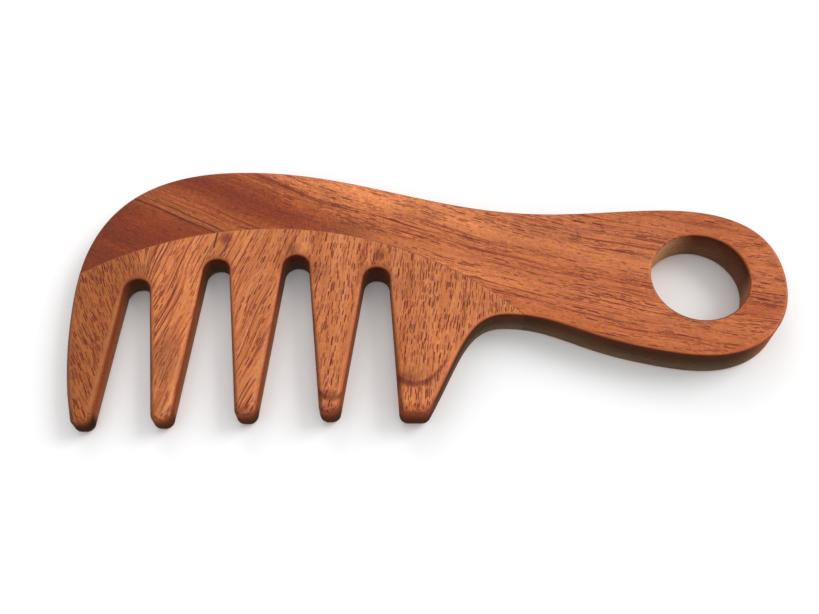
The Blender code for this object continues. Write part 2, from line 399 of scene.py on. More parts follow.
def joint_cutter(inner_radius, outer_radius):
    """A cutter that covers a band along the glue joint through the whole thickness."""
    shape = bmesh.new()
    band = joint_band(inner_radius, outer_radius)
    low = [shape.verts.new(world_point(x, y, -CUTTER_MARGIN)) for x, y in band]
    top = HANDLE_THICKNESS + CUTTER_MARGIN
    high = [shape.verts.new(world_point(x, y, top)) for x, y in band]
    shape.faces.new(low)
    shape.faces.new(high)
    for index in range(len(band)):
        after = (index + 1) % len(band)
        shape.faces.new((low[index], low[after], high[after], high[index]))
    bmesh.ops.recalc_face_normals(shape, faces=shape.faces)
    return add_object("joint_cutter", mesh_of(shape, "joint_cutter"))


def cut_piece(name, blank, inner_radius, outer_radius, operation):
    """A piece of the blank: what a joint cutter leaves of it, or what is inside the cutter."""
    cutter = joint_cutter(inner_radius, outer_radius)
    rough = add_object(name + "_rough", blank)
    boolean = rough.modifiers.new("joint", "BOOLEAN")
    boolean.operation = operation
    boolean.object = cutter
    bpy.context.view_layer.update()
    evaluated = rough.evaluated_get(bpy.context.evaluated_depsgraph_get())
    mesh = bpy.data.meshes.new_from_object(evaluated)
    bpy.data.objects.remove(rough)
    bpy.data.objects.remove(cutter)
    mesh.name = name
    mesh.materials.clear()
    mesh.polygons.foreach_set("use_smooth", [True] * len(mesh.polygons))
    mesh.set_sharp_from_angle(angle=math.radians(SMOOTH_ANGLE))
    return add_object(name, mesh)


def finish_piece(piece, material, node):
    """Give a piece its material, and let it stand for its CAD node."""
    piece.data.materials.append(material)
    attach(piece, "root")
    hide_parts(node)


def rgb(red, green, blue):
    """A colour from its everyday 0 to 255 numbers, as the shaders want it."""
    linear = []
    for value in (red, green, blue):
        share = value / 255
        linear.append(share / 12.92 if share <= 0.04045 else ((share + 0.055) / 1.055) ** 2.4)
    return (*linear, 1)


def wood_rgb(red, green, blue):
    """The colour under the oil: the colour that is seen, less the white that the gloss adds."""
    seen = rgb(red, green, blue)
    return (*(max(value - GLOSS_WHITE, DARKEST_COLOUR) for value in seen[:3]), 1)


class Surface:
    """A material's node tree, with short ways to add nodes to it."""

    def __init__(self, name):
        self.material = bpy.data.materials.new(name)
        self.material.use_nodes = True
        self.nodes = self.material.node_tree.nodes
        self.links = self.material.node_tree.links
        self.shader = self.nodes["Principled BSDF"]

    def put(self, socket, value):
        """Join an output to a socket, or set a plain value on it."""
        if isinstance(value, bpy.types.NodeSocket):
            self.links.new(value, socket)
        else:
            socket.default_value = value

    def finish(self, name, value):
        """Put an output or a plain value on one of the shader's sockets."""
        self.put(self.shader.inputs[name], value)

    def node(self, kind, *values):
        """A new node, with values for its first inputs."""
        node = self.nodes.new(kind)
        for socket, value in zip(node.inputs, values):
            self.put(socket, value)
        return node

    def math(self, operation, *values):
        """A Math node."""
        node = self.node("ShaderNodeMath", *values)
        node.operation = operation
        return node.outputs[0]

    def chain(self, operation, values):
        """Some values joined by an operation, one after the other."""
        result = values[0]
        for value in values[1:]:
            result = self.math(operation, result, value)
        return result

    def add(self, *values):
        """The sum of some values."""
        return self.chain("ADD", values)

    def times(self, *values):
        """The product of some values."""
        return self.chain("MULTIPLY", values)

    def minus(self, value, other):
        """A value less another."""
        return self.math("SUBTRACT", value, other)

    def most(self, *values):
        """The greatest of some values."""
        return self.chain("MAXIMUM", values)

    def unsigned(self, value):
        """A value without its sign."""
        return self.math("ABSOLUTE", value)

    def length(self, across, up):
        """The length of a step, from how far it goes across and up."""
        return self.math("SQRT", self.add(self.times(across, across), self.times(up, up)))

    def vector_math(self, operation, *values):
        """A Vector Math node."""
        node = self.node("ShaderNodeVectorMath", *values)
        node.operation = operation
        return node.outputs[0]

    def ease(self, value, start, end):
        """0 at start and 1 at end, with an eased way between them."""
        node = self.node("ShaderNodeMapRange", value, start, end)
        node.interpolation_type = "SMOOTHSTEP"
        return node.outputs["Result"]

    def spread(self, value, low, high):
        """A value from 0 to 1 spread between two others."""
        return self.math("MULTIPLY_ADD", value, high - low, low)

    def around_one(self, value, reach):
        """A value from 0 to 1 spread evenly around 1."""
        return self.spread(value, 1 - reach, 1 + reach)

    def point(self, x, y, z):
        """A vector from three values."""
        return self.node("ShaderNodeCombineXYZ", x, y, z).outputs[0]

    def parts(self, vector):
        """The three values of a vector."""
        return tuple(self.node("ShaderNodeSeparateXYZ", vector).outputs)

    def noise(self, point, detail=2.0, roughness=0.5):
        """Soft noise around 0.5."""
        node = self.node("ShaderNodeTexNoise", point)
        self.put(node.inputs["Scale"], 1.0)
        self.put(node.inputs["Detail"], detail)
        self.put(node.inputs["Roughness"], roughness)
        return node.outputs[0]

    def ramp(self, value, stops):
        """A colour ramp from places and colours. The places are from 0 to 1."""
        node = self.node("ShaderNodeValToRGB", value)
        elements = node.color_ramp.elements
        while len(elements) < len(stops):
            elements.new(0.5)
        for element, (place, colour) in zip(elements, stops):
            element.position = place
            element.color = colour
        return node.outputs[0]

    def mix(self, share, first, second, blend="MIX"):
        """Two colours mixed, or blended, by a share."""
        node = self.node("ShaderNodeMix", share)
        node.data_type = "RGBA"
        node.blend_type = blend
        self.put(node.inputs[MIX_FIRST_COLOUR], first)
        self.put(node.inputs[MIX_SECOND_COLOUR], second)
        return node.outputs[MIX_RESULT]

    def tint(self, colour, by):
        """A colour multiplied by another."""
        return self.mix(1.0, colour, by, "MULTIPLY")

    def shade(self, colour, lightness):
        """A colour made lighter or darker."""
        return self.tint(colour, self.point(lightness, lightness, lightness))

    def where(self, kind):
        """The place or the normal of the surface, in the frame of its object."""
        return self.node("ShaderNodeTexCoord").outputs[kind]

    def plan(self):
        """The place on the comb, in millimetres from the middle of the handle's round end."""
        scale = (1 / MM, 1 / MM, 1 / MM)
        shift = (SHIFT_X, SHIFT_Y, 0)
        return self.parts(self.vector_math("MULTIPLY_ADD", self.where("Object"), scale, shift))

    def normal(self):
        """The way the surface faces: along the comb, up its plan, and out of its front."""
        return self.parts(self.where("Normal"))

    def stretched(self, grain, length, width, seed):
        """The grain's place in cells of a length along the grain and a width across it."""
        shares = (1 / length, 1 / width, 1 / width)
        return self.vector_math("MULTIPLY_ADD", grain, shares, (seed, seed * 2.3, seed * 1.7))

    def pores(self, grain, length, spacing, width, share, seed):
        """Wood pores cut open by the surface: 1 in each pore and 0 between them. The share
        says how many of them there are, and may change from place to place."""
        place = self.stretched(grain, length, spacing, seed)
        cells = self.node("ShaderNodeTexVoronoi", place)
        self.put(cells.inputs["Scale"], 1.0)
        self.put(cells.inputs["Randomness"], PORE_SCATTER)
        apart = self.vector_math("SUBTRACT", place, cells.outputs["Position"])
        along, across, deep = self.parts(apart)
        aside = self.times(self.length(across, deep), spacing)
        narrow = self.ease(aside, width * 0.5, width * 0.2)
        short = self.ease(self.unsigned(along), 0.5, 0.3)
        chance, strength = self.parts(cells.outputs["Color"])[:2]
        present = self.ease(self.minus(share, chance), -0.06, 0.06)
        depth = self.spread(strength, 0.55, 1.0)
        return self.times(narrow, short, present, depth)

    def worn(self, pores):
        """Pores that are worn away where the surface begins to turn over the edge."""
        up = self.normal()[2]
        return self.times(pores, self.ease(self.unsigned(up), 0.90, 0.995))


def local_thickness(wood, x):
    """The thickness of the comb at a place along it, as a node."""
    slope = (HANDLE_THICKNESS - NOSE_THICKNESS) / (HANDLE_END[0] - NOSE[0])
    return wood.math("MULTIPLY_ADD", x, slope, thickness_at(0))


def grain_depth(wood, x, z):
    """The depth in the grain's pattern, which follows the slope of the front face."""
    return wood.add(wood.minus(z, local_thickness(wood, x)), FRONT_LEVEL)


def spot(wood, x, y, centre, size):
    """1 in the middle of a soft oval spot, and 0 outside it."""
    across = wood.math("DIVIDE", wood.minus(x, centre[0]), size[0])
    up = wood.math("DIVIDE", wood.minus(y, centre[1]), size[1])
    return wood.ease(wood.length(across, up), 1.0, 0.2)


def patchy(wood, x, y, *patches):
    """A lightness that is 1 but for soft patches: their places, their sizes and by how much
    each of them is lighter or darker."""
    lightness = 1.0
    for centre, size, change in patches:
        lightness = wood.math("MULTIPLY_ADD", spot(wood, x, y, centre, size), change, lightness)
    return lightness


def line_mask(wood, value, middle, half_width):
    """1 along a soft line where a value has its middle, and 0 further than twice half_width."""
    away = wood.unsigned(wood.minus(value, middle))
    return wood.ease(away, half_width * 2, half_width * 0.6)


def short_line(wood, x, y, slope, level, half_width, centre, size, wobble=0.0):
    """1 along a straight line that falls towards the handle, as far as an oval goes. The
    level is its height beside the middle of the handle's end."""
    height = wood.add(y, wood.times(x, slope), wobble)
    return wood.times(line_mask(wood, height, level, half_width), spot(wood, x, y, centre, size))


def tinted(wood, colour):
    """Small patches that are a little more purple or more olive than the rest."""
    place = wood.vector_math("MULTIPLY", wood.where("Object"), TINT_PATCHES_PER_METRE)
    patches = wood.noise(place, 2.0)
    purple = wood.ease(patches, 0.50, 0.66)
    olive = wood.ease(patches, 0.50, 0.34)
    colour = wood.mix(purple, colour, wood.tint(colour, PURPLE_TINT))
    return wood.mix(olive, colour, wood.tint(colour, OLIVE_TINT))


def wood_ramp(wood, value, *stops):
    """A colour ramp for an oiled face, from places and the colours seen there."""
    return wood.ramp(value, [(place, wood_rgb(*seen)) for place, seen in stops])


def marked(wood, colour, mask, strength, seen):
    """A colour with a mark of another colour over it."""
    return wood.mix(wood.times(mask, strength), colour, wood_rgb(*seen))


def pore_colour(wood, x, y):
    """The dark lining of the pores, redder in some places and more olive in others."""
    patches = wood.noise(wood.point(wood.times(x, 0.16), wood.times(y, 0.3), 5.0), 1.0)
    return wood_ramp(wood, patches, (0.35, (102, 50, 22)), (0.50, (96, 38, 20)),
                     (0.65, (110, 44, 34)))


def growth_bands(wood, across, *bands):
    """Colours across the grain, from places in millimetres and the colours seen there."""
    whole = BANDS_HIGHEST - BANDS_LOWEST
    place = wood.math("DIVIDE", wood.minus(across, BANDS_LOWEST), whole)
    return wood_ramp(wood, place, *(((middle - BANDS_LOWEST) / whole, seen)
                                    for middle, seen in bands))


def back_bands(wood, across, grain, to_nose):
    """The growth bands of the back board, at the nose end and at the handle end."""
    unevenness = wood.noise(wood.stretched(grain, 60.0, 5.0, 1.0), 2.0)
    banded = wood.add(across, wood.spread(unevenness, -1.2, 1.2))
    nose_colour = growth_bands(
        wood, banded, (-46.0, (136, 67, 41)), (-34.0, (131, 61, 38)), (-28.0, (142, 71, 43)),
        (-25.5, (172, 97, 58)), (-21.0, (168, 92, 56)), (-17.0, (142, 71, 44)),
        (-12.5, (127, 59, 39)), (-8.0, (150, 77, 47)), (-3.0, (194, 113, 71)),
        (4.0, (208, 127, 82)))
    handle_colour = growth_bands(
        wood, banded, (-46.0, (186, 106, 66)), (-26.0, (194, 113, 71)), (-19.0, (188, 105, 66)),
        (-13.0, (197, 116, 75)), (-5.0, (184, 104, 67)), (1.0, (196, 117, 76)),
        (9.0, (195, 115, 75)), (18.0, (190, 108, 68)))
    return wood.mix(to_nose, handle_colour, nose_colour)


def back_lightness(wood, x, y, grain, to_nose, specks):
    """How light the back board is: lightest at the crest and darkest at the nose, with soft
    patches, and with fine light ripples across the grain at the crest, a painted chatoyant sheen."""
    light_places = patchy(wood, x, y, ((-72.0, 18.0), (46.0, 30.0), 0.17),
                          ((-92.0, 27.0), (26.0, 12.0), 0.16))
    brightness = wood.add(light_places, wood.times(wood.ease(x, -30.0, 18.0), -0.10),
                          wood.times(wood.ease(x, -132.0, -158.0), -0.24))
    patches = patchy(wood, x, y, ((-98.0, 25.0), (9.0, 8.0), -0.16),
                     ((-90.0, 16.0), (11.0, 6.0), -0.22), ((-73.0, 20.0), (13.0, 6.0), -0.13),
                     ((-41.0, 14.0), (20.0, 7.0), -0.15), ((-17.0, 8.0), (10.0, 6.0), -0.12),
                     ((4.0, 15.0), (14.0, 6.0), -0.10), ((-146.0, 20.0), (10.0, 8.0), 0.16))
    mottling = wood.times(wood.add(specks, -0.5), wood.spread(to_nose, 0.88, 1.6))
    # Painted chatoyant sheen: fine light ripples across the grain at the crest.
    ripples = wood.noise(wood.stretched(grain, 0.5, 2.4, 61.0), 1.0)
    crest = spot(wood, x, y, (-100.0, 24.0), (44.0, 26.0))
    rippled_sheen = wood.add(wood.times(wood.add(ripples, -0.5), crest, 0.7), 1.0)
    return wood.times(wood.add(mottling, 1.0), rippled_sheen, brightness, patches)


def dark_streaks(wood, grain, streaks, colour):
    """Thin dark streaks, in groups, over the middle and the handle."""
    groups = wood.noise(wood.stretched(grain, 50.0, 6.0, 41.0), 1.0)
    streak_mask = wood.times(wood.ease(streaks, 0.50, 0.64), wood.ease(groups, 0.38, 0.60))
    return marked(wood, colour, streak_mask, 0.9, (128, 59, 34))


def nose_lines(wood, x, y, across, grain, ribbons, fibres, colour):
    """Two long dark lines and a short one at the nose end, in a band of fine streaks."""
    wave = wood.add(across, wood.spread(fibres, -0.35, 0.35))
    lines_end = wood.ease(x, -122.0, -126.0)
    lower_line = wood.times(line_mask(wood, wave, -26.6, 0.22), wood.spread(ribbons, 0.7, 1.2))
    upper_line = wood.times(line_mask(wood, wave, -24.9, 0.14),
                            wood.spread(wood.ease(x, -146.0, -134.0), 0.35, 1.0))
    between = short_line(wood, x, y, 0.23, -11.2, 0.13, (-118.4, 16.0), (3.4, 3.0))
    dark_lines = wood.most(wood.times(lower_line, lines_end), wood.times(upper_line, lines_end),
                           between)
    colour = marked(wood, colour, dark_lines, 0.95, (86, 33, 22))
    fine_streaks = wood.ease(wood.noise(wood.stretched(grain, 20.0, 0.40, 53.0), 2.0), 0.50, 0.62)
    fine_streaks = wood.times(fine_streaks, line_mask(wood, across, -25.0, 2.6), lines_end)
    return marked(wood, colour, fine_streaks, 0.6, (120, 54, 32))


def back_pores(wood, x, y, across, grain, to_nose):
    """Open pores, in clusters, more of them towards the handle and few in one plain band."""
    clusters = wood.noise(wood.stretched(grain, 26.0, 2.6, 11.0), 2.0, 0.6)
    plain_band = wood.times(line_mask(wood, across, -12.5, 4.0), to_nose)
    from_nose = wood.ease(wood.add(x, wood.times(y, 0.5)), -112.0, -86.0)
    more = wood.times(wood.spread(from_nose, 0.14, 1.0), wood.spread(plain_band, 1.0, 0.25))
    crowd = wood.times(wood.ease(clusters, 0.42, 0.60), more)
    long_pores = wood.pores(grain, 3.6, 0.58, 0.50, wood.spread(crowd, 0.0, 0.95), 3.0)
    small_pores = wood.pores(grain, 1.6, 0.46, 0.40, wood.spread(crowd, 0.08, 0.85), 8.0)
    fine_pores = wood.pores(grain, 0.9, 0.36, 0.30, wood.spread(crowd, 0.25, 0.65), 23.0)
    return wood.worn(wood.most(long_pores, wood.times(small_pores, 0.85),
                               wood.times(fine_pores, 0.6)))


def handle_marks(wood, x, y, fibres, colour):
    """The marks of the handle: a dark line and a dark red cluster beside the finger hole,
    and a short dark line below it."""
    line = short_line(wood, x, y, 0.26, -2.5, 0.16, (15.0, -6.4), (6.0, 5.0),
                      wood.spread(fibres, -0.4, 0.4))
    colour = marked(wood, colour, line, 0.9, (92, 36, 24))
    cluster = spot(wood, x, y, (13.5, -10.0), (8.0, 3.0))
    colour = marked(wood, colour, cluster, 0.35, (128, 54, 40))
    low_line = short_line(wood, x, y, 0.12, -18.5, 0.12, (5.7, -19.2), (4.0, 3.0),
                          wood.spread(fibres, -0.3, 0.3))
    return marked(wood, colour, low_line, 0.8, (96, 38, 24))


def back_wood():
    """Red-brown hardwood with its grain along the comb, dark and plain at the nose end,
    lighter and full of open pores from the middle to the handle."""
    wood = Surface("back_wood")
    x, y, z = wood.plan()

    # The grain falls towards the handle, and more steeply near the nose.
    wander = wood.noise(wood.point(wood.times(x, 0.03), wood.times(y, 0.06), 0.0), 1.0)
    bend = wood.add(wood.times(x, 0.2), wood.times(x, x, -0.001))
    across = wood.add(y, bend, wood.spread(wander, -1.6, 1.6))
    grain = wood.point(x, across, grain_depth(wood, x, z))
    to_nose = wood.ease(wood.add(x, wood.times(y, 0.6)), -56.0, -98.0)

    # Soft ribbons, fine fibres, short specks and long thin streaks along the grain.
    ribbons = wood.noise(wood.stretched(grain, 45.0, 3.0, 4.0), 3.0, 0.6)
    fibres = wood.noise(wood.stretched(grain, 9.0, 0.32, 7.0), 3.0, 0.7)
    specks = wood.noise(wood.stretched(grain, 0.9, 0.35, 31.0), 2.0, 0.6)
    streaks = wood.noise(wood.stretched(grain, 24.0, 0.55, 37.0), 2.0, 0.6)
    edge_shade = wood.times(wood.around_one(fibres, 0.4), wood.around_one(specks, 0.4),
                            wood.around_one(ribbons, 0.3), wood.around_one(streaks, 0.4))
    shade = wood.times(wood.around_one(ribbons, 0.38), wood.around_one(fibres, 0.46),
                       back_lightness(wood, x, y, grain, to_nose, specks))
    colour = tinted(wood, wood.shade(back_bands(wood, across, grain, to_nose), shade))

    # Warmer at the handle's end, and paler over the crest.
    colour = wood.mix(wood.ease(x, -12.0, 14.0), colour, wood.tint(colour, (1.03, 0.95, 0.80, 1)))
    crest = spot(wood, x, y, (-76.0, 16.0), (44.0, 34.0))
    colour = wood.mix(crest, colour, wood.tint(colour, (1.02, 1.10, 1.12, 1)))

    colour = dark_streaks(wood, grain, streaks, colour)
    colour = nose_lines(wood, x, y, across, grain, ribbons, fibres, colour)
    pores = back_pores(wood, x, y, across, grain, to_nose)
    colour = wood.mix(pores, colour, pore_colour(wood, x, y))
    colour = handle_marks(wood, x, y, fibres, colour)
    finish_wood(wood, colour, back_edge(wood, x, y, z), edge_shade, pores, fibres)
    return wood.material


def tooth_lines(wood, grain, lined):
    """The long dark grain lines of teeth 2 and 3, cut open like pores, and softer veins."""
    line_crowd = wood.ease(wood.noise(wood.stretched(grain, 24.0, 3.0, 21.0), 1.0), 0.35, 0.6)
    line_share = wood.times(lined, wood.spread(line_crowd, 0.45, 1.0))
    long_lines = wood.most(wood.pores(grain, 20.0, 0.95, 0.52, line_share, 6.0),
                           wood.pores(grain, 9.0, 0.70, 0.42, line_share, 15.0))
    veins = wood.noise(wood.stretched(grain, 26.0, 1.1, 17.0), 2.0, 0.55)
    vein_mask = wood.times(wood.ease(veins, 0.56, 0.70), wood.spread(lined, 0.05, 0.8))
    return long_lines, vein_mask


def tooth_flecks(wood, grain, lined, to_nose):
    """Short flecks, most at the nose tooth and fewest between the long lines."""
    clusters = wood.noise(wood.stretched(grain, 12.0, 2.4, 13.0), 2.0, 0.6)
    crowd = wood.times(wood.spread(wood.ease(clusters, 0.3, 0.6), 0.45, 1.0),
                       wood.spread(lined, 1.0, 0.45))
    crowd = wood.add(crowd, wood.times(to_nose, 0.2))
    return wood.most(wood.pores(grain, 3.0, 0.58, 0.48, crowd, 9.0),
                     wood.pores(grain, 2.0, 0.50, 0.40, wood.times(crowd, 0.8), 19.0))


def tooth_wood():
    """Lighter hardwood with its grain down the teeth, fanned out around the nose teeth."""
    wood = Surface("tooth_wood")
    x, y, z = wood.plan()

    # The lean of the grain changes along the comb: out at the nose, in at teeth 2 and 3.
    lean = wood.add(-0.45, wood.times(wood.ease(x, -148.0, -141.0), 0.78),
                    wood.times(wood.ease(x, -116.0, -92.0), -0.22))
    wander = wood.noise(wood.point(wood.times(x, 0.07), wood.times(y, 0.035), 3.0), 1.0)
    leaned = wood.times(lean, wood.minus(y, FAN_TOP))
    across = wood.add(wood.minus(x, leaned), wood.spread(wander, -1.5, 1.5))
    grain = wood.point(y, across, grain_depth(wood, x, z))

    # Broad colours: the nose tooth is browner, and the rest a warm orange brown.
    ribbons = wood.noise(wood.stretched(grain, 34.0, 3.2, 2.0), 3.0, 0.6)
    colour = wood_ramp(wood, ribbons, (0.25, (178, 101, 61)), (0.45, (194, 116, 73)),
                       (0.60, (200, 124, 80)), (0.75, (214, 139, 92)))
    to_nose = wood.ease(x, -141.0, -150.0)
    colour = marked(wood, colour, to_nose, 0.85, (156, 91, 53))

    # Fine fibres and specks along the grain, a lighter second tooth and soft patches.
    fibres = wood.noise(wood.stretched(grain, 8.0, 0.32, 5.0), 3.0, 0.7)
    specks = wood.noise(wood.stretched(grain, 0.9, 0.35, 31.0), 2.0, 0.6)
    edge_shade = wood.times(wood.around_one(fibres, 0.4), wood.around_one(specks, 0.4),
                            wood.around_one(ribbons, 0.3))
    light_tooth = spot(wood, x, y, (-131.0, -2.0), (20.0, 34.0))
    patches = patchy(wood, x, y, ((-126.0, 8.4), (9.0, 4.0), -0.17),
                     ((-145.0, 3.0), (4.5, 4.0), -0.18), ((-98.0, 2.5), (4.5, 5.0), -0.20),
                     ((-76.0, -2.0), (6.0, 5.0), -0.15), ((-135.5, -22.0), (5.0, 11.0), -0.32),
                     ((-67.0, -19.0), (7.0, 8.0), 0.16), ((-73.0, -34.0), (9.0, 9.0), 0.12),
                     ((-73.0, -36.5), (6.0, 3.5), 0.20))
    shade = wood.times(wood.around_one(fibres, 0.46), wood.around_one(specks, 0.44),
                       wood.spread(light_tooth, 0.97, 1.12), patches)
    colour = tinted(wood, wood.shade(colour, shade))

    # Long lines and veins on teeth 2 and 3, short flecks everywhere, then the single marks.
    lined = wood.times(wood.ease(x, -149.0, -142.0), wood.ease(x, -96.0, -104.0))
    long_lines, vein_mask = tooth_lines(wood, grain, lined)
    pores = wood.most(long_lines, tooth_flecks(wood, grain, lined, to_nose))
    over_tip = wood.times(wood.ease(above_tip(wood, x, y), 5.0, 2.5),
                          wood.ease(wood.unsigned(wood.normal()[2]), 0.30, 0.60))
    pores = wood.most(wood.worn(pores), wood.times(pores, over_tip))
    colour = marked(wood, colour, vein_mask, 0.7, (122, 57, 30))
    colour = tooth_marks(wood, x, y, fibres, colour)
    colour = wood.mix(pores, colour, pore_colour(wood, x, y))
    finish_wood(wood, colour, tooth_edge(wood, x, y, z), edge_shade, pores, fibres)
    return wood.material


def tooth_marks(wood, x, y, fibres, colour):
    """The marks of the tooth board: dark rings round the arches with smudges over two of them, a
    purplish patch with a crack beside it, and dark growth arcs near the tips of the last two
    teeth; and painted shade over the rounded tips, from the third tooth on."""
    reach = ARCH_RADIUS + RING_WIDTH
    for gap_x in GAP_PLACES:
        ring = spot(wood, x, y, arch_centre(gap_x), (reach, reach))
        colour = marked(wood, colour, ring, 0.95, (112, 50, 28))
    smudges = wood.most(spot(wood, x, y, (-105.6, 9.6), (2.8, 2.8)),
                        spot(wood, x, y, (-82.6, 7.4), (2.6, 3.4)))
    colour = marked(wood, colour, smudges, 0.55, (116, 64, 32))
    # Painted shade over the rounded tips, from the third tooth on.
    tip_shade = wood.times(wood.ease(above_tip(wood, x, y), 3.2, 1.4), wood.ease(x, -132.0, -122.0))
    colour = marked(wood, colour, tip_shade, 0.4, (120, 52, 30))

    patch = spot(wood, x, y, (-123.4, 12.8), (2.9, 3.2))
    colour = marked(wood, colour, patch, 0.85, (128, 60, 46))
    crack_lean = wood.add(x, wood.times(y, -0.13), wood.spread(fibres, -0.15, 0.15))
    crack = wood.times(line_mask(wood, crack_lean, -127.7, 0.20), wood.ease(y, 9.6, 10.4))
    colour = marked(wood, colour, crack, 0.9, (84, 38, 26))

    last_arc = wood.times(growth_arc(wood, x, y, fibres, (-73.0, -29.6), 0.11),
                          wood.ease(x, -62.0, -66.0), wood.ease(y, -21.0, -25.0))
    fourth_arc = wood.times(growth_arc(wood, x, y, fibres, (-93.6, -33.4), 0.25),
                            wood.ease(x, -86.0, -88.0), wood.ease(y, -29.0, -31.5))
    arcs = wood.times(wood.most(last_arc, fourth_arc), wood.spread(fibres, 0.2, 1.0))
    colour = wood.mix(arcs, colour, wood_rgb(100, 46, 27))
    dabs = wood.most(spot(wood, x, y, (-75.0, -28.2), (5.4, 3.0)),
                     spot(wood, x, y, (-94.6, -32.2), (3.4, 2.0)))
    return marked(wood, colour, dabs, 0.6, (108, 50, 30))


def growth_arc(wood, x, y, fibres, lowest, curve):
    """1 along a growth arc, which curves up to both sides of its lowest place."""
    aside = wood.add(x, -lowest[0])
    height = wood.add(y, wood.times(aside, aside, -curve), wood.spread(fibres, -0.4, 0.4))
    return line_mask(wood, height, lowest[1], ARC_HALF_WIDTH)


def share_of_height(wood, x, z):
    """How far up the edge a place is: 0 at the back face, and 1 at the front face."""
    return wood.math("DIVIDE", z, local_thickness(wood, x))


def up_the_edge(wood, height, *stops):
    """Colours up the edge of a board, from shares of its height and colours."""
    return wood.ramp(height, [(share, rgb(*colour)) for share, colour in stops])


def back_edge(wood, x, y, z):
    """The edge of the back board, partly the oiled edge's own darker colour and partly painted
    light and shade: painted shade where it faces the camera, greyer low down where floor bounce
    is painted; plain wood along the back; painted light, brown, where it faces the window light
    at the handle's end; and painted shade in the finger hole but for the hole's left side, which
    is painted as lit."""
    side, ahead = wood.normal()[:2]
    height = share_of_height(wood, x, z)
    # Painted shade: the edge that faces the camera, away from the lamps, greyer low down with
    # painted floor bounce.
    shaded = up_the_edge(wood, height, (0.08, (98, 80, 64)), (0.38, (75, 56, 38)),
                         (0.68, (60, 37, 22)), (0.90, (72, 36, 17)))
    # Painted light: the edge that faces the window light, as at the handle's end.
    lit = up_the_edge(wood, height, (0.08, (140, 96, 66)), (0.50, (134, 82, 52)),
                      (0.90, (140, 78, 46)))
    outer = wood.mix(wood.ease(ahead, -0.70, -0.99), lit, shaded)
    outer = wood.mix(wood.ease(ahead, -0.1, 0.3), outer, rgb(153, 90, 62))

    # Painted shade in the finger hole, with painted light on its left side, which faces the
    # window light.
    hole = up_the_edge(wood, height, (0.08, (112, 82, 62)), (0.50, (98, 64, 46)),
                       (0.88, (80, 38, 23)))
    hole = wood.mix(wood.ease(side, -0.1, 0.75), hole, rgb(190, 140, 96))
    hole = wood.mix(wood.ease(ahead, -0.15, 0.35), hole, rgb(144, 96, 72))
    from_centre = wood.length(wood.minus(x, HOLE_CENTRE[0]), wood.minus(y, HOLE_CENTRE[1]))
    reach = HOLE_RADIUS + HOLE_EDGE_REACH
    return wood.mix(wood.ease(from_centre, reach + HOLE_EDGE_FADE, reach), outer, hole)


def tooth_edge(wood, x, y, z):
    """The edge of the tooth board, partly the oiled edge's own darker colour and partly painted
    light and shade: nearly black in the arches, painted shadow; red-brown down the sides of the
    teeth, painted light; and darker over their tips and along the last tooth's long side, painted
    shade. The nose tooth's tip is the darkest."""
    ahead = wood.normal()[1]
    height = share_of_height(wood, x, z)
    # Painted shadow: the walls of the arches, deep in the gaps.
    arches = up_the_edge(wood, height, (0.08, (80, 64, 53)), (0.50, (78, 49, 36)),
                         (0.88, (87, 32, 15)))
    # Painted light: the sides of the teeth that the window light reaches.
    lit = up_the_edge(wood, height, (0.08, (130, 92, 68)), (0.38, (128, 78, 51)),
                      (0.69, (132, 62, 36)))
    # Painted shade: the last tooth's long side, which faces the camera.
    crook_shade = up_the_edge(wood, height, (0.08, (104, 90, 74)), (0.50, (72, 51, 37)),
                        (0.88, (76, 36, 20)))
    # Painted shade over the tips, darkest at the bottom, which faces down.
    tips = up_the_edge(wood, height, (0.08, (52, 44, 30)), (0.38, (66, 33, 19)),
                       (0.62, (94, 41, 22)), (0.81, (122, 60, 33)))
    nose_tip = up_the_edge(wood, height, (0.08, (70, 58, 42)), (0.38, (46, 24, 13)),
                           (0.62, (58, 24, 12)), (0.81, (96, 44, 25)))
    tips = wood.mix(wood.ease(x, -146.0, -150.0), tips, nose_tip)
    # More painted shadow towards the arches, whichever way the wall faces.
    arch_shadow = wood.times(wood.ease(y, -9.0, 2.0), 0.75)
    colour = wood.mix(wood.most(wood.ease(ahead, -0.30, -0.90), arch_shadow), lit, arches)
    colour = wood.mix(wood.ease(x, -76.0, -72.0), colour, crook_shade)
    return wood.mix(wood.ease(above_tip(wood, x, y), 4.2, 1.8), colour, tips)


def above_tip(wood, x, y):
    """How far a place on a tooth is above the end of that tooth."""
    height = wood.minus(y, TIPS[-1])
    for gap_x, tip, next_tip in zip(GAP_PLACES, TIPS, TIPS[1:]):
        past_gap = wood.math("GREATER_THAN", x, gap_x)
        height = wood.math("MULTIPLY_ADD", past_gap, next_tip - tip, height)
    return height


def round_the_edge(wood, colour, edge_colour):
    """The oil at the edge, with painted shade: the faces go darker over the round-overs, more
    where they face the camera and most where they face away from it, and into the colour of the
    edge below them, which holds painted light and shade. Returns the colour and the share of
    edge."""
    side, ahead, up = wood.normal()
    flat = wood.unsigned(up)
    # Painted shade over the round-overs, deeper where they face the camera, over the oiled edge's
    # own darker colour.
    tint = wood.mix(wood.ease(ahead, -0.15, -0.60), SIDE_ROUND_OIL_AND_SHADE, FRONT_ROUND_OIL_AND_SHADE)
    on_round = wood.ease(flat, 0.92, 0.50)
    on_edge = wood.ease(flat, 0.62, 0.15)
    # Painted shade on what faces away, to the back and to the nose.
    far_side_shade = wood.most(wood.ease(ahead, 0.15, 0.55), wood.ease(side, -0.25, -0.70))
    colour = wood.mix(on_round, colour, wood.tint(colour, tint))
    colour = wood.mix(far_side_shade, colour, wood.tint(colour, FAR_SIDE_SHADE))
    return wood.mix(on_edge, colour, edge_colour), on_edge


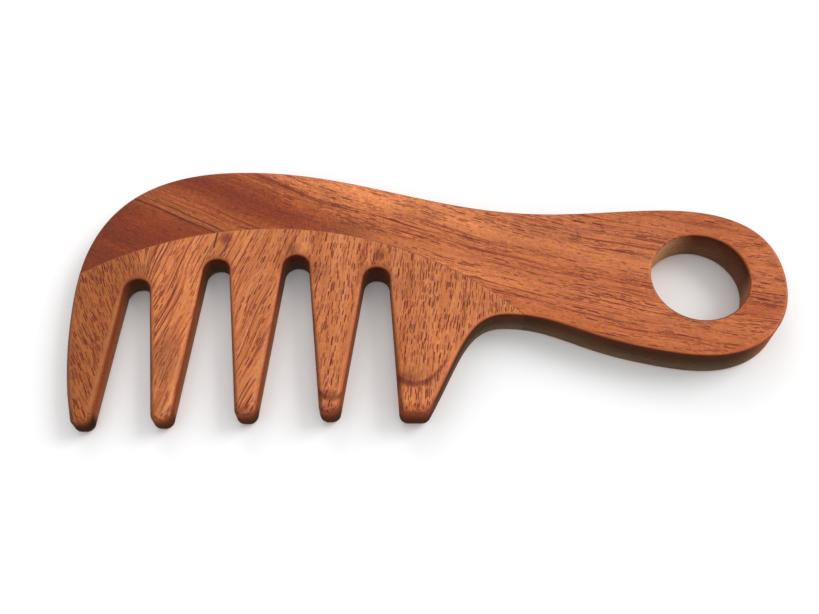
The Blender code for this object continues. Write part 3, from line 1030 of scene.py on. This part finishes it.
def finish_wood(wood, colour, edge_colour, edge_shade, pores, fibres):
    """The oiled finish that both boards share: darker edges with painted light and shade on them,
    satin gloss and open pores.
    """
    edge_colour = tinted(wood, wood.shade(edge_colour, edge_shade))
    colour, on_edge = round_the_edge(wood, colour, edge_colour)
    wood.finish("Base Color", colour)
    wood.finish("Specular IOR Level", wood.spread(on_edge, FACE_GLOSS, EDGE_GLOSS))
    rough = wood.add(wood.spread(fibres, 0.38, 0.52), wood.times(pores, 0.18),
                     wood.times(on_edge, 0.35))
    wood.finish("Roughness", rough)
    bump = wood.node("ShaderNodeBump")
    wood.put(bump.inputs["Height"], wood.minus(wood.times(fibres, 0.25), pores))
    wood.put(bump.inputs["Strength"], BUMP_STRENGTH)
    wood.put(bump.inputs["Distance"], BUMP_DEPTH * MM)
    wood.finish("Normal", bump.outputs[0])


def cured_glue():
    """The thin brown line of glue, a little uneven in colour."""
    glue = Surface("cured_glue")
    x, y, z = glue.plan()
    uneven = glue.noise(glue.point(glue.times(x, 0.6), y, z), 2.0)
    colour = glue.ramp(uneven, ((0.3, rgb(128, 62, 38)), (0.7, rgb(160, 86, 54))))
    # Its edge has the painted shade of the walls beside it: greyer low down and dark red-brown at
    # the top.
    edge_colour = up_the_edge(glue, share_of_height(glue, x, z), (0.08, (92, 80, 66)),
                              (0.50, (60, 44, 31)), (0.88, (68, 34, 17)))
    colour, on_edge = round_the_edge(glue, colour, edge_colour)
    glue.finish("Base Color", colour)
    glue.finish("Specular IOR Level", glue.spread(on_edge, FACE_GLOSS, EDGE_GLOSS))
    glue.finish("Roughness", glue.spread(uneven, 0.4, 0.55))
    return glue.material


def comb():
    """The three pieces of the comb."""
    blank = comb_blank()
    above = JOINT_RADIUS + GLUE_THICKNESS / 2
    below = JOINT_RADIUS - GLUE_THICKNESS / 2
    back = cut_piece("back_board", blank, above - JOINT_CUT_DEPTH, above, "DIFFERENCE")
    teeth = cut_piece("teeth_board", blank, below - JOINT_CUT_DEPTH, below, "INTERSECT")
    film = cut_piece("glue_film", blank, below, above, "INTERSECT")
    finish_piece(back, back_wood(), "back_and_handle")
    finish_piece(teeth, tooth_wood(), "tooth_board")
    finish_piece(film, cured_glue(), "glue_line")
    bpy.data.meshes.remove(blank)


def floor():
    """A plain pale floor under the comb."""
    half = FLOOR_SIZE / 2
    shape = bmesh.new()
    corners = [(-half, -half), (half, -half), (half, half), (-half, half)]
    shape.faces.new([shape.verts.new((x * MM, y * MM, -FLOOR_DROP * MM)) for x, y in corners])
    mesh = mesh_of(shape, "floor")
    pale = Surface("pale_floor")
    pale.finish("Base Color", (FLOOR_GREY, FLOOR_GREY, FLOOR_GREY, 1))
    pale.finish("Roughness", 0.9)
    pale.finish("Specular IOR Level", 0.2)
    mesh.materials.append(pale.material)
    floor_object = add_object("floor", mesh)


def soft_light(name, azimuth, elevation, size, power):
    """A square area light that faces the comb. Azimuth 0 is behind it, and 90 at the handle."""
    light = bpy.data.lights.new(name, "AREA")
    light.shape = "SQUARE"
    light.size = size
    light.energy = power
    lamp = add_object(name, light)
    side, behind = heading(90 - azimuth)
    flat, up = heading(elevation)
    place = Vector((side * flat, behind * flat, up)) * LIGHT_DISTANCE
    lamp.location = place
    lamp.rotation_euler = place.to_track_quat("Z", "Y").to_euler()


def studio():
    """Soft light from behind the comb and to its right, with a weak even fill."""
    for light in LIGHTS:
        soft_light(*light)
    world = bpy.data.worlds.new("studio")
    bpy.context.scene.world = world
    world.use_nodes = True
    background = world.node_tree.nodes["Background"]
    background.inputs["Color"].default_value = (1, 1, 1, 1)
    background.inputs["Strength"].default_value = FILL_LIGHT
    bpy.context.scene.view_settings.view_transform = "Standard"


def camera():
    """The camera, above and in front of the comb, a little turned about its line of sight."""
    lens = bpy.data.cameras.new("camera")
    lens.lens = LENS_LENGTH
    lens.sensor_width = SENSOR_WIDTH
    lens.clip_start = 10 * MM
    view = add_object("camera", lens)
    right = Vector(CAMERA_RIGHT)
    up = Vector(CAMERA_UP)
    back = right.cross(up)
    turn = Matrix((right, up, back)).transposed().to_4x4()
    view.matrix_world = Matrix.Translation(Vector(CAMERA_PLACE) * MM) @ turn
    bpy.context.scene.camera = view


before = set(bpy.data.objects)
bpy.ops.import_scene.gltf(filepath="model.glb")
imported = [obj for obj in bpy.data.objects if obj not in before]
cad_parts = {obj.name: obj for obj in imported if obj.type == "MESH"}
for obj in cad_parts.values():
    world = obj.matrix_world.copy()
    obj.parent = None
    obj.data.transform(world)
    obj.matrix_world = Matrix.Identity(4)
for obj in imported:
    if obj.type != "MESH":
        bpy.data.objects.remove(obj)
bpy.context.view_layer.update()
comb()
floor()
studio()
camera()
